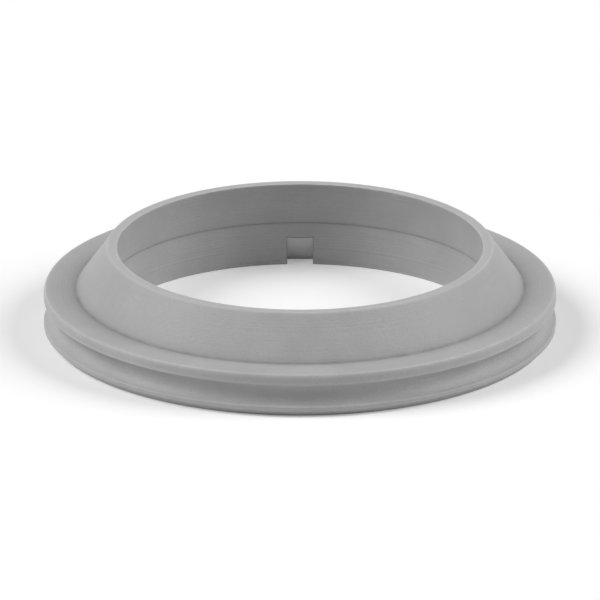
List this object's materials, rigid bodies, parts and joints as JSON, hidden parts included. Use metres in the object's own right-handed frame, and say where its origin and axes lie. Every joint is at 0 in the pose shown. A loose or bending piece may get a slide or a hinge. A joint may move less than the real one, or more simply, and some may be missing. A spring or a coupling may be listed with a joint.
{
  "type": "wiper seal",
  "caption": "Moulded elastomer ring that wipes a hydraulic cylinder's rod, with an inward-leaning lip, a heel with a round outer groove, and vent notches at the bore.",
  "frame": {"origin": "centre of the heel's flat lower face, on the ring's axis", "axes": "+Z along the ring's axis, from the heel towards the wiping lip; +X and +Y through vent notches"},
  "size_m": [0.0508, 0.0508, 0.0088],
  "materials": {
    "seal_elastomer": "satin, moulded"
  },
  "bodies": {
    "root": {"wiper_seal": "seal_elastomer"}
  },
  "joints": []
}
